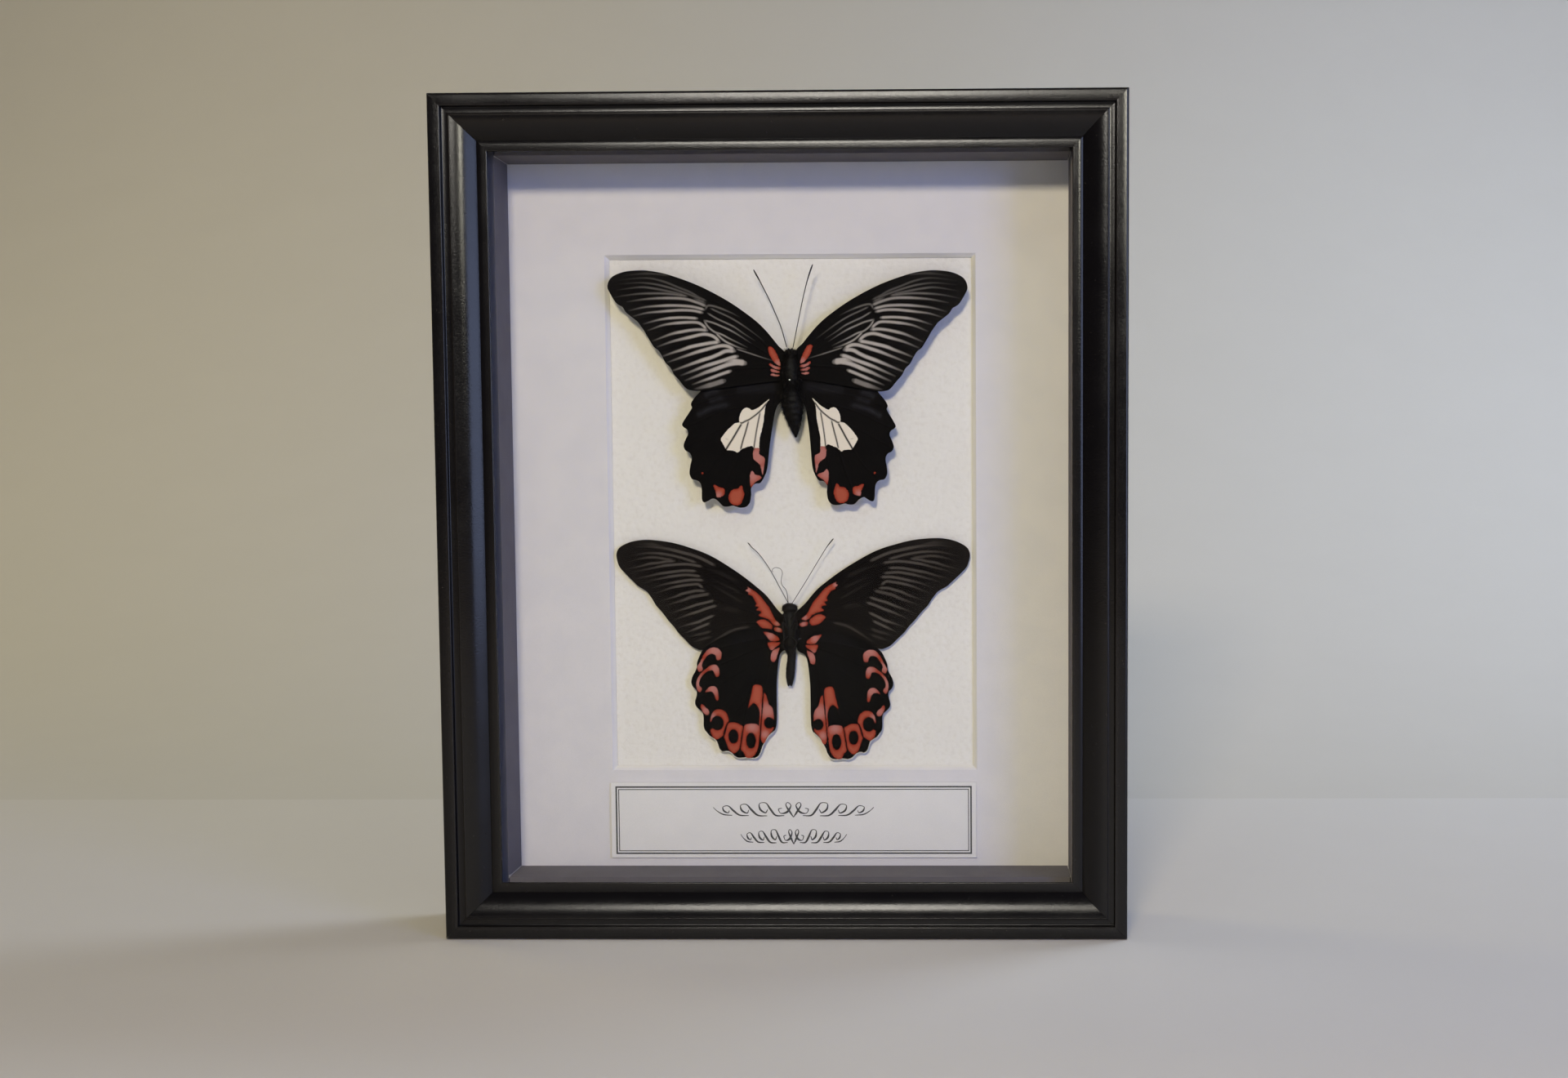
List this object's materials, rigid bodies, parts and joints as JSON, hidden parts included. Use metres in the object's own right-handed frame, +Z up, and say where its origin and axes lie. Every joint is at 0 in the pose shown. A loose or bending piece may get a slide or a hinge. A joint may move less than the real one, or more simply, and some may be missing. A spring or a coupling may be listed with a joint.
{
  "type": "framed butterfly specimen",
  "caption": "Spread swallowtail butterflies, shown from above and below on textured card, with mat and label card, behind glass in a deep black wooden box frame that stands on its edge.",
  "frame": {"origin": "middle of the bottom edge of the frame, on the surface that it stands on", "axes": "+X to the right seen from the front, +Z up, the glass faces -Y and the back panel +Y"},
  "size_m": [0.2276, 0.039, 0.2785],
  "materials": {
    "black_wood": "satin black paint on moulded wood",
    "glass": "clear sheet glass",
    "grey_board": "dark grey faced board",
    "mat_board": "white mat board with a bevelled window",
    "mount_card": "off-white textured paper on card",
    "label_paper": "white card with a ruled border",
    "back_panel": "brown hardboard",
    "steel": "plated steel",
    "wing": "black scaled wing with pale rays, white cells and red marks",
    "body": "black hairy body",
    "feeler": "dark brown horn-like thread"
  },
  "bodies": {
    "root": {"frame_rail_top": "black_wood", "frame_rail_bottom": "black_wood", "frame_rail_left": "black_wood", "frame_rail_right": "black_wood", "glass_pane": "glass", "spacer_top": "grey_board", "spacer_bottom": "grey_board", "spacer_left": "grey_board", "spacer_right": "grey_board", "mat_board": "mat_board", "mount_card": "mount_card", "label_card": "label_paper", "back_panel": "back_panel", "tab_left_lower": "steel", "tab_left_upper": "steel", "tab_right_lower": "steel", "tab_right_upper": "steel", "tab_bottom_left": "steel", "tab_bottom_right": "steel", "tab_top_left": "steel", "tab_top_right": "steel", "hanger_plate": "steel", "hanger_nail_left": "steel", "hanger_nail_right": "steel", "upper_body": "body", "upper_forewing_left": "wing", "upper_forewing_right": "wing", "upper_hindwing_left": "wing", "upper_hindwing_right": "wing", "upper_antenna_left": "feeler", "upper_antenna_right": "feeler", "upper_pin": "steel", "lower_body": "body", "lower_forewing_left": "wing", "lower_forewing_right": "wing", "lower_hindwing_left": "wing", "lower_hindwing_right": "wing", "lower_antenna_left": "feeler", "lower_antenna_right": "feeler", "lower_proboscis": "feeler"}
  },
  "joints": []
}
